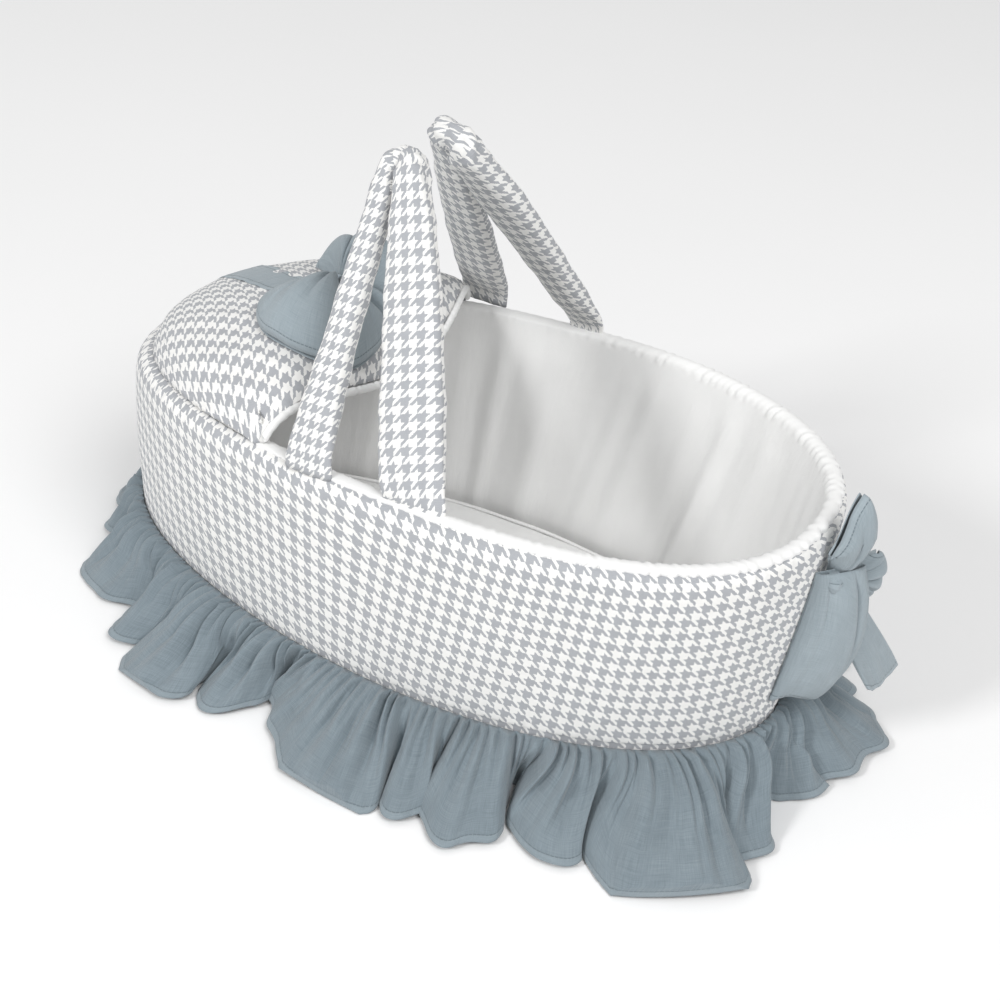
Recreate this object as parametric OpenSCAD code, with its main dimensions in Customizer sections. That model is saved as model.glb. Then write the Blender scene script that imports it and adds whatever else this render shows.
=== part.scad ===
// Small fabric moses basket: a padded oval body with a gathered ruffle,
// a loose mattress, a padded cover sewn over one half, two padded handles
// that fold outwards, and two bows.
// Millimetres. The origin is the centre of the base's underside.
// +X points to the open end, +Y to the far long side, +Z up.

/* [Body] */
// Half length of the body at the ruffle seam
base_half_length = 266; // [255:1:275]
// Half width of the body at the ruffle seam
base_half_width = 127; // [122:1:130]
// Half length of the rim seam
rim_half_length = 260; // [250:1:265]
// Half width of the rim seam
rim_half_width = 138; // [134:1:142]
// How far the rim's centre stands towards the open end
rim_shift = 21; // [14:1:24]
// Height of the rim seam at the rim's centre
rim_height = 203; // [196:1:210]
// Rise of the rim seam from the covered end to the open end
rim_rise = 16; // [10:1:18]
// Drop of the rim seam at its two ends
rim_droop = 8; // [4:1:10]
// Exponent of the base outline, where 2 is an ellipse
base_exponent = 2; // [2:0.01:2.2]
// Exponent of the rim outline
rim_exponent = 2.28; // [2.1:0.01:2.5]
// Extra width at the open end, as a share of the half width
egg = 0.11; // [0.05:0.01:0.12]

/* [Wall] */
// Thickness of every fabric skin
fabric = 0.8; // [0.6:0.1:0.9]
// Gap between two layers that lie on each other
layer_gap = 0.2; // [0.1:0.05:0.3]
// Gap between a padding and the fabric round it
padding_gap = 0.6; // [0.4:0.05:0.7]
// How far the outer wall swells out past the rim seam at the covered end
covered_end_swell = 11.5; // [8:0.5:12]
// How far the outer wall swells out past the rim seam at the open end
open_end_swell = 4.5; // [4:0.5:8]
// Depth from the body's outline to the inside face at the floor
wall_depth = 18; // [16:0.5:20]
// Height of the rolled lip above the rim seam
lip_height = 3; // [2:0.5:4]

/* [Base and mattress] */
// Thickness of the stiff base board
board_thickness = 3; // [2:0.5:4]
// Thickness of the mattress with its cover
mattress_thickness = 42; // [30:1:44]
// Gap between the mattress and the lining
mattress_gap = 6; // [6:0.5:8]

/* [Ruffle] */
// Height of the seam that the ruffle hangs from
ruffle_seam_height = 46; // [42:1:50]
// How far the hem stands out from the seam
ruffle_flare = 64; // [50:1:66]
// Depth of the gathered folds
ruffle_depth = 5; // [3:0.5:6]

/* [Cover] */
// Position along X where the cover's front edge meets the near rim
cover_near_corner = -75; // [-80:1:-70]
// Position along X where the cover's front edge meets the far rim
cover_far_corner = -73; // [-80:1:-70]
// How far the front edge bows forward between its corners
cover_front_bow = 38; // [30:1:40]
// Rise of the dome above its sewn edge
cover_dome = 39; // [30:1:40]
// Rise of the front edge beside its two corners
front_swell = 22; // [16:1:24]
// How far the front edge sags again in its middle
front_sag = 18; // [10:1:20]
// Thickness of the padded cover
cover_thickness = 9.6; // [8:0.2:12]
// Thickness of the cover where it is sewn to the rim
cover_edge_thickness = 4; // [3:0.5:6]
// Width of the ribbon along the cover
ribbon_width = 28; // [20:1:32]
// Sideways position of the ribbon's middle at the rim and at the bow
ribbon_ends = [44, -4];

/* [Handles] */
// Thickness of the padded strap
strap_thickness = 17; // [14:1:18]
// Height of the fold line above the rim seam
hinge_lift = 7; // [6.5:0.5:9]
// Length of a handle from its fold line to the middle of its top bend
handle_length = 203; // [190:1:206]
// Lean of a handle towards the middle, in degrees from upright
handle_lean = 33.5; // [31:0.5:34]
// Radius of the strap's middle line over the top
apex_radius = 11; // [10.5:0.5:12]
// Position along X of the near handle's two legs
near_legs = [-24, 57];
// Position along X of the far handle's two legs
far_legs = [-56, 32];
// Position along X of the near handle's top
near_apex_x = -27; // [-30:1:-24]
// Position along X of the far handle's top
far_apex_x = -24; // [-28:1:-18]
// Seen widths of each leg in five even steps from its root to its top bend.
// The strap is turned on edge where a leg is narrow.
near_left_widths = [34, 25, 22, 20, 16];
near_right_widths = [45, 44, 40, 34, 20];
far_left_widths = [38, 36, 33, 28, 20];
far_right_widths = [27, 28, 31, 32, 20];

/* [Bows] */
// Centre of the cover bow along X
cover_bow_x = -96; // [-100:1:-92]
// Sideways position of the end bow
end_bow_y = 0; // [-5:1:5]
// Height of the end bow
end_bow_z = 170; // [166:1:174]

/* [Hidden] */

around = 60;                 // points round the body's outline
board_z = fabric + layer_gap;
floor_lining_z = board_z + board_thickness + layer_gap;
mattress_z = floor_lining_z + fabric + 0.3;
cover_base = lip_height + 0.6; // underside of the cover above the rim seam
hinge_y = rim_half_width;
hinge_z = rim_height + hinge_lift;

houndstooth = [0.84, 0.85, 0.86];
slate = [0.55, 0.62, 0.67];
lining_white = [0.94, 0.94, 0.93];
foam_cream = [0.93, 0.9, 0.8];

// ---- Outlines and surfaces -------------------------------------------------

function signed_power(v, e) = sign(v) * pow(abs(v), e);
function mix(a, b, share) = a + (b - a) * share;
function clamp01(v) = min(1, max(0, v));

// An egg-shaped superellipse, at one angle
function egg_point(angle, half_length, half_width, e) =
    let (c = signed_power(cos(angle), 2 / e), s = signed_power(sin(angle), 2 / e))
    [half_length * c, half_width * s * (1 + egg * c)];

// Points of the base and rim outlines, moved out by "off"
function base_point(angle, off) =
    egg_point(angle, base_half_length + off, base_half_width + off, base_exponent);
function rim_point(angle, off) =
    [rim_shift, 0] + egg_point(angle, rim_half_length + off, rim_half_width + off, rim_exponent);
function base_outline(off) = [for (i = [0:around - 1]) base_point(360 * i / around, off)];

// Height of the rim seam above a place along X
function rim_z(x) =
    let (share = (x - rim_shift) / rim_half_length)
    rim_height + rim_rise / 2 * share - rim_droop * share * share;

// How far the outer wall swells out at one angle, as a share of the mean of its two ends
mean_swell = (covered_end_swell + open_end_swell) / 2;
function swell_share(angle) =
    mix(covered_end_swell, open_end_swell, (1 + cos(angle)) / 2) / mean_swell;

// A point of the wall. Level -1 is the floor, 0 the ruffle seam and 1 the rim seam.
// "swell" is the outer wall's mean swell at that level, and "off" moves the point out.
function wall_point(angle, level, off, swell = 0) =
    let (out = off + swell * swell_share(angle),
         xy = mix(base_point(angle, out), rim_point(angle, out), max(level, 0)),
         z = level < 0 ? ruffle_seam_height * (1 + level) : mix(ruffle_seam_height, rim_z(xy.x), level))
    [xy.x, xy.y, z];

// Outside of the wall and ruffle at the open end, as X for a given Y and Z
function end_wall_x(y, z) =
    let (level = clamp01((z - ruffle_seam_height) / (rim_height - ruffle_seam_height)),
         below = clamp01(1 - z / ruffle_seam_height),
         off = open_end_swell * level + 1 + (below > 0 ? 7 + ruffle_flare * below : 0),
         half_width = (mix(base_half_width, rim_half_width, level) + off) * (1 + egg),
         e = mix(base_exponent, rim_exponent, level),
         share = pow(1 - pow(abs(y) / half_width, e), 1 / e))
    rim_shift * level + (mix(base_half_length, rim_half_length, level) + off) * share;

// Distance from the rim's centre, where 1 is on the rim seam
function rim_distance(x, y) =
    let (u = (x - rim_shift) / rim_half_length,
         v = y / (rim_half_width * (1 + egg * u)))
    pow(pow(abs(u), rim_exponent) + pow(abs(v), rim_exponent), 1 / rim_exponent);

// The cover's front edge and its domed underside
function front_x(y) =
    let (side = y / rim_half_width)
    mix(cover_near_corner, cover_far_corner, (side + 1) / 2)
        + cover_front_bow * (1 - pow(min(1, abs(side)), 2));
cover_edge_y = rim_half_width - 13;
function front_rise(y) =
    front_swell * pow(1 - pow(min(1, abs(y) / cover_edge_y), 8), 0.8)
        - front_sag * pow(1 - pow(min(1, abs(y) / rim_half_width), 2), 3);
function dome(x, y) =
    let (fade = clamp01((x - front_x(y) + 70) / 70),
         bulge = pow(max(0, 1 - pow(rim_distance(x, y), 4)), 0.65))
    mix(cover_dome * bulge, front_rise(y), fade * fade);
function cover_depth(x, y) =
    mix(cover_thickness, cover_edge_thickness, pow(min(1, rim_distance(x, y)), 8));
function cover_under(x, y) = rim_z(x) + cover_base + dome(x, y);
function cover_over(x, y) = cover_under(x, y) + cover_depth(x, y);

// ---- Solids from points ----------------------------------------------------

function quad(a, b, c, d) = [[a, b, c], [a, c, d]];
function flat(lists) = [for (list = lists) each list];

// A ring swept round the body. The profile lists [level, off, swell], outside first and up.
module ring_solid(profile) {
    m = len(profile);
    points = [for (i = [0:around - 1], p = profile)
        wall_point(360 * i / around, p[0], p[1], len(p) > 2 ? p[2] : 0)];
    faces = [for (i = [0:around - 1], j = [0:m - 1])
        let (k = (i + 1) % around, l = (j + 1) % m)
        each quad(i * m + j, i * m + l, k * m + l, k * m + j)];
    polyhedron(points, faces);
}

// A closed slab between two grids of points, rows by columns
module slab(over, under) {
    rows = len(over);
    cols = len(over[0]);
    low = rows * cols;
    top = [for (r = [0:rows - 2], c = [0:cols - 2])
        let (a = r * cols + c)
        each quad(a, a + 1, a + cols + 1, a + cols)];
    rim = concat(
        [for (c = [0:cols - 1]) c],
        [for (r = [1:rows - 1]) r * cols + cols - 1],
        [for (c = [cols - 2:-1:0]) (rows - 1) * cols + c],
        [for (r = [rows - 2:-1:1]) r * cols]);
    bottom = [for (f = top) [f[2] + low, f[1] + low, f[0] + low]];
    sides = [for (i = [0:len(rim) - 1])
        let (a = rim[i], b = rim[(i + 1) % len(rim)])
        each quad(a, a + low, b + low, b)];
    polyhedron(concat(flat(over), flat(under)), concat(top, bottom, sides));
}

// A closed tube through rings of points, with flat ends
module tube(rings) {
    n = len(rings[0]);
    last = (len(rings) - 1) * n;
    sides = [for (r = [0:len(rings) - 2], i = [0:n - 1])
        let (k = (i + 1) % n)
        each quad(r * n + i, r * n + k, (r + 1) * n + k, (r + 1) * n + i)];
    ends = [[for (i = [n - 1:-1:0]) i], [for (i = [0:n - 1]) last + i]];
    polyhedron(flat(rings), concat(sides, ends));
}

// ---- Base and walls --------------------------------------------------------

module base_cover() {
    color(houndstooth) linear_extrude(fabric) polygon(base_outline(-12.5));
}

module base_board() {
    color("tan") translate([0, 0, board_z])
        linear_extrude(board_thickness) polygon(base_outline(-wall_depth - 1));
}

module floor_lining() {
    color(lining_white) translate([0, 0, floor_lining_z])
        linear_extrude(fabric) polygon(base_outline(-wall_depth - 1));
}

// Outer face of the wall from the floor to the rim seam, as [level, off, swell]
outer_face = [
    [-0.99, -11, 0], [-0.9, -4, 0], [-0.6, -1, 0], [0, 0, 0], [0.35, 0, mean_swell * 0.55],
    [0.7, 0, mean_swell * 0.9], [0.9, 0, mean_swell], [0.97, 0, mean_swell * 0.65], [1, 0.5, 0],
];
// Inner face of the wall from the rim seam over the lip and down to the floor
lip_level = 1 + lip_height / (rim_height - ruffle_seam_height);
inner_face = [
    [1, -0.7], [lip_level, -3], [lip_level, -7], [0.98, -10.5], [0.5, -14],
    [0, -wall_depth], [-0.9, -wall_depth],
];
function moved(face, distance) = [for (p = face) [p[0], p[1] + distance, p[2]]];
function reversed(list) = [for (i = [len(list) - 1:-1:0]) list[i]];

module outer_wall() {
    color(houndstooth) ring_solid(concat(outer_face, reversed(moved(outer_face, -fabric))));
}

module wall_lining() {
    under_lip = [[0.99, -1.7], [0.99, -3.4], [0.99, -6.6], [0.97, -9.7], [0.5, -13.2],
        [0, -wall_depth + fabric], [-0.9, -wall_depth + fabric]];
    color(lining_white) ring_solid(concat(reversed(under_lip), inner_face));
}

module wall_foam() {
    skin = fabric + padding_gap;
    outside = [[-0.97, -13], [-0.9, -4 - skin], [-0.6, -1 - skin], [0, -skin],
        [0.35, -skin, mean_swell * 0.55], [0.7, -skin, mean_swell * 0.9], [0.9, -skin, mean_swell],
        [0.96, -skin - 0.5, mean_swell * 0.65]];
    inside = [[0.98, -2.5], [0.98, -6.5], [0.95, -9.3], [0.5, -14 + skin], [0, -wall_depth + skin],
        [-0.97, -wall_depth + skin]];
    color(foam_cream) ring_solid(concat(outside, inside));
}

// The gathered ruffle, as one flared band from its seam to the floor
module ruffle() {
    hem = -0.99;
    color(slate) ring_solid([
        [hem, ruffle_flare], [hem + 0.1, ruffle_flare + 1], [-0.5, ruffle_flare * 0.52 + 2],
        [-0.12, ruffle_depth + 6], [-0.02, 2.5], [-0.04, 0.5],
        [-0.16, 4], [-0.5, ruffle_flare * 0.52 - ruffle_depth], [hem, ruffle_flare - ruffle_depth * 1.5],
    ]);
}

// ---- Mattress --------------------------------------------------------------

module mattress_cover() {
    inset = -wall_depth - mattress_gap;
    slit = 120;  // length of the opening that the core goes in by
    color(lining_white) translate([0, 0, mattress_z]) difference() {
        linear_extrude(mattress_thickness) polygon(base_outline(inset));
        translate([0, 0, fabric])
            linear_extrude(mattress_thickness - 2 * fabric) polygon(base_outline(inset - fabric));
        translate([-slit / 2, -0.5, -1]) cube([slit, 1, fabric + 2]);
    }
}

module mattress_core() {
    skin = fabric + layer_gap;
    color(foam_cream) translate([0, 0, mattress_z + skin])
        linear_extrude(mattress_thickness - 2 * skin)
            polygon(base_outline(-wall_depth - mattress_gap - skin));
}

// ---- Cover -----------------------------------------------------------------

cover_rows = 9;
cover_cols = 23;
// Angle on the rim outline where it stands at a given X, on the far side
function rim_angle(x) = acos(signed_power((x - rim_shift) / rim_half_length, rim_exponent / 2));

// Plan point of the cover: row 0 is on the rim, the last row is the front edge
function cover_xy(row, col) =
    let (across = col / (cover_cols - 1),
         angle = mix(360 - rim_angle(cover_near_corner), rim_angle(cover_far_corner), across),
         y = cover_edge_y * (2 * across - 1))
    mix(rim_point(angle, -2), [front_x(y), y], row / (cover_rows - 1));

// Grids of points above the cover's underside and above its outside
function grid_over_under(lift) = [for (r = [0:cover_rows - 1]) [for (c = [0:cover_cols - 1])
    let (p = cover_xy(r, c))
    [p.x, p.y, cover_under(p.x, p.y) + lift]]];
function grid_over_outside(lift) = [for (r = [0:cover_rows - 1]) [for (c = [0:cover_cols - 1])
    let (p = cover_xy(r, c))
    [p.x, p.y, cover_over(p.x, p.y) + lift]]];

module cover_lining() {
    color(lining_white) slab(grid_over_under(fabric), grid_over_under(0));
}

module cover_wadding() {
    skin = fabric + layer_gap;
    color(foam_cream) slab(grid_over_outside(-skin), grid_over_under(skin));
}

module cover_top() {
    color(houndstooth) slab(grid_over_outside(0), grid_over_outside(-fabric));
}

// White binding that closes the cover's front edge
module cover_edge_binding() {
    radius = 2.2;
    sides = 8;
    rings = [for (c = [0:cover_cols - 1])
        let (p = cover_xy(cover_rows - 1, c),
             z = cover_under(p.x, p.y) + radius + 0.6)
        [for (i = [0:sides - 1])
            [p.x + radius + 0.4 + radius * cos(360 * i / sides), p.y, z + radius * sin(360 * i / sides)]]];
    color(lining_white) tube(rings);
}

// Ribbon sewn along the middle of the cover
module cover_ribbon() {
    start = rim_shift - rim_half_length + 26;
    finish = cover_bow_x - 13;
    steps = 16;
    function grid(lift) = [for (r = [0:steps]) [for (side = [-1:0.5:1])
        let (x = mix(start, finish, r / steps),
             turn = pow(1 - r / steps, 2),
             y = mix(ribbon_ends[1], ribbon_ends[0], turn) + side * ribbon_width / 2)
        [x, y, cover_over(x, y) + lift]]];
    color(slate) slab(grid(layer_gap + fabric), grid(layer_gap));
}

// ---- Bows ------------------------------------------------------------------

// Height of a bow piece over what it lies on: thin at its rim, full in the middle
function fan_height(r, a, thin, puff) = thin + puff * sqrt(max(0, sin(180 * r) * sin(180 * a)));

// Grid of a fan that spreads from "start" to "stop" degrees and from "inner" to "outer"
function fan_grid(centre, start, stop, inner, outer, lift, thin, puff) =
    [for (r = [0:0.2:1.001]) [for (a = [0:0.125:1])
        let (angle = mix(start, stop, a), reach = mix(inner, outer, r))
        [centre[0] + reach * cos(angle), centre[1] + reach * sin(angle),
            lift + fan_height(r, a, thin, puff)]]];

function on_cover(grid) = [for (row = grid) [for (p = row) [p[0], p[1], cover_over(p[0], p[1]) + p[2]]]];
function on_end(grid, lean) = [for (r = [0:len(grid) - 1]) [for (a = [0:len(grid[r]) - 1])
    let (p = grid[r][a], out = mix(lean[0], lean[1], a / (len(grid[r]) - 1)) * r / (len(grid) - 1))
    [end_wall_x(p[0], p[1]) + p[2] + out, p[0], p[1]]]];

module cover_fan(start, stop, outer, thin, puff) {
    centre = [cover_bow_x, 0];
    color(slate) slab(on_cover(fan_grid(centre, start, stop, 12, outer, 1.5, thin, puff)),
                      on_cover(fan_grid(centre, start, stop, 12, outer, 1.5, 0, 0)));
}

// "lean" is how far the tip of the piece stands out from the wall, on its first and its last side
module end_fan(start, stop, outer, thin, puff, lean) {
    centre = [end_bow_y, end_bow_z];
    color(slate) slab(on_end(fan_grid(centre, start, stop, 12, outer, 2, thin, puff), lean),
                      on_end(fan_grid(centre, start, stop, 12, outer, 2, 0, 0), lean));
}

module cover_bow_near_loop() cover_fan(-136, -2, 66, 4, 12);
module cover_bow_far_loop() cover_fan(36, 142, 60, 8, 24);
module cover_bow_tail() cover_fan(4, 30, 48, 2, 5);
module end_bow_upper_loop() end_fan(66, 110, 58, 4, 14, [18, 0]);
module end_bow_side_loop() end_fan(-46, 12, 42, 4, 18, [24, 24]);
module end_bow_lower_loop() end_fan(256, 284, 94, 4, 20, [0, 32]);
module end_bow_tail() end_fan(287, 302, 108, 3, 5, [48, 62]);

// A knot: a short bar with rounded ends
module knot(length, radius) {
    hull() for (side = [-1, 1]) translate([side * (length / 2 - radius), 0, 0]) sphere(radius, $fn = 16);
}

module cover_bow_knot() {
    radius = 8;
    color(slate) translate([cover_bow_x, 0, cover_over(cover_bow_x, 0) + radius + 1.5])
        knot(22, radius);
}

module end_bow_knot() {
    radius = 8;
    color(slate) translate([end_wall_x(end_bow_y, end_bow_z) + radius + 2, end_bow_y, end_bow_z])
        rotate([0, 90, 90]) knot(22, radius);
}

// ---- Handles ---------------------------------------------------------------

leg_steps = 7;
arc_steps = 8;
strap_sides = 12;
root_thickness = 3;   // the strap is pressed flat where it is sewn in
root_length = 34;     // length over which the strap swells to its full thickness

// Middle line of a handle in its own plane, as [x, distance from the fold line]
function leg_tilt(foot, apex, side) =
    atan2(side * (foot - apex) - apex_radius, handle_length - apex_radius);
function handle_line(legs, apex) =
    let (left = leg_tilt(legs[0], apex, -1),
         right = leg_tilt(legs[1], apex, 1),
         centre = [apex, handle_length - apex_radius],
         arc = [for (i = [0:arc_steps])
             let (angle = mix(180 - left, right, i / arc_steps))
             centre + apex_radius * [cos(angle), sin(angle)]])
    concat([for (i = [0:leg_steps - 1]) mix([legs[0], 0], arc[0], i / leg_steps)],
           arc,
           [for (i = [1:leg_steps]) mix(arc[arc_steps], [legs[1], 0], i / leg_steps)]);

// Half the width of a leg at a height above the fold line
function leg_half_width(widths, v) =
    lookup(v / (handle_length - apex_radius), [for (i = [0:4]) [i / 4, widths[i] / 2]]);
function strap_half_thickness(v) =
    mix(root_thickness / 2, strap_thickness / 2, pow(clamp01(v / root_length), 0.9))
        + 2 * pow(clamp01(v / handle_length), 3);

// Rings of the strap, with "shrink" taken off all round. The two end rings lie on the fold line.
function strap_rings(line, widths, shrink) = [for (i = [0:len(line) - 1])
    let (before = line[max(i - 1, 0)],
         after = line[min(i + 1, len(line) - 1)],
         along = (after - before) / norm(after - before),
         at_end = i == 0 || i == len(line) - 1,
         sideways = at_end ? [1 / along[1], 0] : [along[1], -along[0]],
         over = clamp01((i - leg_steps) / arc_steps),
         half_width = mix(leg_half_width(widths[0], line[i][1]), leg_half_width(widths[1], line[i][1]), over)
             - shrink,
         half_thickness = strap_half_thickness(line[i][1]) - shrink)
    [for (k = [0:strap_sides - 1])
        let (angle = 360 * k / strap_sides,
             at = line[i] + sideways * half_width * signed_power(cos(angle), 0.8))
        [at[0], at[1], half_thickness * signed_power(sin(angle), 0.8)]]];

// Moves a handle from its own plane to its leaning place on the near rim
module near_side() {
    translate([0, -hinge_y, hinge_z]) rotate([90 - handle_lean, 0, 0]) children();
}

module far_side() {
    mirror([0, 1, 0]) near_side() children();
}

module strap_cover(legs, apex, widths) {
    line = handle_line(legs, apex);
    last = len(line) - 1;
    past = 1;  // the hollow runs past both ends
    longer = concat([line[0] - [0, past]], [for (i = [1:last - 1]) line[i]], [line[last] - [0, past]]);
    difference() {
        tube(strap_rings(line, widths, 0));
        tube(strap_rings(longer, widths, fabric));
    }
}

module strap_wadding(legs, apex, widths) {
    tube(strap_rings(handle_line(legs, apex), widths, fabric + layer_gap * 1.5));
}

// Stitches between the strap's two legs, just under its top bend
module strap_tack(legs, apex, widths) {
    line = handle_line(legs, apex);
    height = handle_length - apex_radius - 8;
    radius = 0.9;
    // Place along X of the inner edge of the leg that runs from "foot" to "top"
    function edge(foot, top, side, leg_widths) =
        let (slope = (top[0] - foot[0]) / (top[1] - foot[1]),
             half_width = leg_half_width(leg_widths, height - 1) * norm([1, slope]))
        foot[0] + slope * height + side * (half_width + layer_gap);
    start = edge(line[0], line[leg_steps], 1, widths[0]);
    stop = edge(line[len(line) - 1], line[leg_steps + arc_steps], -1, widths[1]);
    translate([start, height, 0]) rotate([0, 90, 0]) cylinder(stop - start, radius, radius, $fn = 24);
}

near_widths = [near_left_widths, near_right_widths];
far_widths = [far_left_widths, far_right_widths];

module near_handle_cover() color(houndstooth) near_side() strap_cover(near_legs, near_apex_x, near_widths);
module near_handle_wadding() color(foam_cream) near_side() strap_wadding(near_legs, near_apex_x, near_widths);
module near_handle_tack() color(lining_white) near_side() strap_tack(near_legs, near_apex_x, near_widths);
module far_handle_cover() color(houndstooth) far_side() strap_cover(far_legs, far_apex_x, far_widths);
module far_handle_wadding() color(foam_cream) far_side() strap_wadding(far_legs, far_apex_x, far_widths);
module far_handle_tack() color(lining_white) far_side() strap_tack(far_legs, far_apex_x, far_widths);

base_cover();
base_board();
floor_lining();
wall_foam();
outer_wall();
wall_lining();
ruffle();
mattress_cover();
mattress_core();
cover_top();
cover_wadding();
cover_lining();
cover_edge_binding();
cover_ribbon();
cover_bow_near_loop();
cover_bow_far_loop();
cover_bow_tail();
cover_bow_knot();
end_bow_upper_loop();
end_bow_side_loop();
end_bow_lower_loop();
end_bow_tail();
end_bow_knot();
near_handle_cover();
near_handle_wadding();
near_handle_tack();
far_handle_cover();
far_handle_wadding();
far_handle_tack();
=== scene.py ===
"""Looks of a small padded fabric moses basket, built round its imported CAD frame."""
import math
import bpy
import numpy as np
from mathutils import Matrix, Vector


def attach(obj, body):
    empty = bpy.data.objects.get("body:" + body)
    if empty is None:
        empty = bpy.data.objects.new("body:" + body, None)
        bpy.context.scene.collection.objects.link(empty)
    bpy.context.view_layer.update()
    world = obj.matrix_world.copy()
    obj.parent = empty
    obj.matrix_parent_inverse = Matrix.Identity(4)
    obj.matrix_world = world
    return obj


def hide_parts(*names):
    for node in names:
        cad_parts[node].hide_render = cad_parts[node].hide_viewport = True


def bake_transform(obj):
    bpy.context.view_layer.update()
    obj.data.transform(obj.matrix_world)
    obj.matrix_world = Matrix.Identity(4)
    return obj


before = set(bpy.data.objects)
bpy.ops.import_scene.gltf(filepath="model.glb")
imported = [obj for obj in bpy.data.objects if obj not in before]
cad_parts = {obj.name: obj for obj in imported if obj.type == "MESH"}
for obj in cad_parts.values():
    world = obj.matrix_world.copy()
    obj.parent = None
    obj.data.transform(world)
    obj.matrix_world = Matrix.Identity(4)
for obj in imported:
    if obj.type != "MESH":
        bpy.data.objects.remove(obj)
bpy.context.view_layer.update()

# ---- Driving dimensions, in millimetres, as in the part's own source ----------

MM = 0.001
BASE_HALF_LENGTH = 266
BASE_HALF_WIDTH = 127
BASE_EXPONENT = 2.0
RIM_HALF_LENGTH = 260
RIM_HALF_WIDTH = 138
RIM_EXPONENT = 2.28
RIM_SHIFT = 21
RIM_HEIGHT = 203
RIM_RISE = 16
RIM_DROOP = 8
EGG = 0.11
COVERED_END_SWELL = 11.5
OPEN_END_SWELL = 4.5
MEAN_SWELL = (COVERED_END_SWELL + OPEN_END_SWELL) / 2
SEAM_HEIGHT = 46
WALL_DEPTH = 18
WALL_HEIGHT = RIM_HEIGHT - SEAM_HEIGHT
RUFFLE_FLARE = 64

MATTRESS_INSET = 25
MATTRESS_BOTTOM = 5.3
MATTRESS_THICKNESS = 42

COVER_CORNERS = (-75, -73)
COVER_FRONT_BOW = 38
COVER_DOME = 39
FRONT_SWELL = 22
FRONT_SAG = 18
COVER_THICKNESS = 9.6
COVER_EDGE_THICKNESS = 4
COVER_BASE = 3.6
COVER_EDGE_Y = RIM_HALF_WIDTH - 13
COVER_BOW_X = -96
RIBBON_WIDTH = 28
RIBBON_ENDS = (44, -4)

HINGE_Y = RIM_HALF_WIDTH
HINGE_Z = RIM_HEIGHT + 7
HANDLE_LENGTH = 203
HANDLE_LEAN = math.radians(33.5)
APEX_RADIUS = 10
STRAP_THICKNESS = 17
STRAP_GIRTH = 96        # distance round the strap
NEAR_LEGS, NEAR_APEX_X = (-24, 57), -27
FAR_LEGS, FAR_APEX_X = (-56, 32), -24
NEAR_WIDTHS = ((34, 25, 20, 17, 14), (45, 44, 40, 34, 21))   # of each leg, from root to top
FAR_WIDTHS = ((38, 36, 33, 28, 20), (27, 28, 32, 36, 24))
STAGGER = 5             # how far the right leg's top stands in front of the left leg's

END_BOW_Y = 0
END_BOW_Z = 170

CLOTH = 0.8             # thickness of a layer of cloth
CHECK_ALONG = 10.9      # one repeat of the houndstooth along the wall
CHECK_UP = 12.3         # one repeat of the houndstooth up the wall
STRAP_CHECK = 10.4      # one repeat of the houndstooth on the straps


# ---- Outlines and surfaces, as in the part's own source -----------------------

def signed_power(value, exponent):
    return np.sign(value) * np.abs(value) ** exponent


def mix(a, b, share):
    return a + (b - a) * share


def smooth_step(low, high, value):
    share = np.clip((value - low) / (high - low), 0, 1)
    return share * share * (3 - 2 * share)


def egg_point(angle, half_length, half_width, exponent):
    """X and Y of an egg-shaped superellipse."""
    across = signed_power(np.cos(angle), 2 / exponent)
    side = signed_power(np.sin(angle), 2 / exponent)
    return half_length * across, half_width * side * (1 + EGG * across)


def rim_z(x):
    share = (x - RIM_SHIFT) / RIM_HALF_LENGTH
    return RIM_HEIGHT + RIM_RISE / 2 * share - RIM_DROOP * share * share


def wall_points(angle, level, off, swell=0.0):
    """Points of the wall: level -1 is the floor, 0 the ruffle's seam and 1 the rim's seam."""
    share = mix(COVERED_END_SWELL, OPEN_END_SWELL, (1 + np.cos(angle)) / 2) / MEAN_SWELL
    out = off + swell * share
    base_x, base_y = egg_point(angle, BASE_HALF_LENGTH + out, BASE_HALF_WIDTH + out, BASE_EXPONENT)
    rim_x, rim_y = egg_point(angle, RIM_HALF_LENGTH + out, RIM_HALF_WIDTH + out, RIM_EXPONENT)
    height = np.maximum(level, 0)
    x = mix(base_x, rim_x + RIM_SHIFT, height)
    y = mix(base_y, rim_y, height)
    z = np.where(level < 0, SEAM_HEIGHT * (1 + level), mix(SEAM_HEIGHT, rim_z(x), level))
    return np.stack([x, y, z], -1)


def end_wall_x(y, z):
    """X of the wall's outside at the open end, for a given Y and Z."""
    level = np.clip((z - SEAM_HEIGHT) / WALL_HEIGHT, 0, 1)
    below = np.clip(1 - z / SEAM_HEIGHT, 0, 1)
    off = OPEN_END_SWELL * level + 1 + np.where(below > 0, 7 + RUFFLE_FLARE * below, 0)
    half_width = (mix(BASE_HALF_WIDTH, RIM_HALF_WIDTH, level) + off) * (1 + EGG)
    exponent = mix(BASE_EXPONENT, RIM_EXPONENT, level)
    share = (1 - (np.abs(y) / half_width) ** exponent) ** (1 / exponent)
    return RIM_SHIFT * level + (mix(BASE_HALF_LENGTH, RIM_HALF_LENGTH, level) + off) * share


def rim_distance(x, y):
    """Distance from the rim's centre, where 1 is on the rim's seam."""
    along = (x - RIM_SHIFT) / RIM_HALF_LENGTH
    across = y / (RIM_HALF_WIDTH * (1 + EGG * along))
    total = np.abs(along) ** RIM_EXPONENT + np.abs(across) ** RIM_EXPONENT
    return total ** (1 / RIM_EXPONENT)


def front_x(y):
    side = y / RIM_HALF_WIDTH
    corners = mix(COVER_CORNERS[0], COVER_CORNERS[1], (side + 1) / 2)
    return corners + COVER_FRONT_BOW * (1 - np.minimum(1, np.abs(side)) ** 2)


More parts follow.
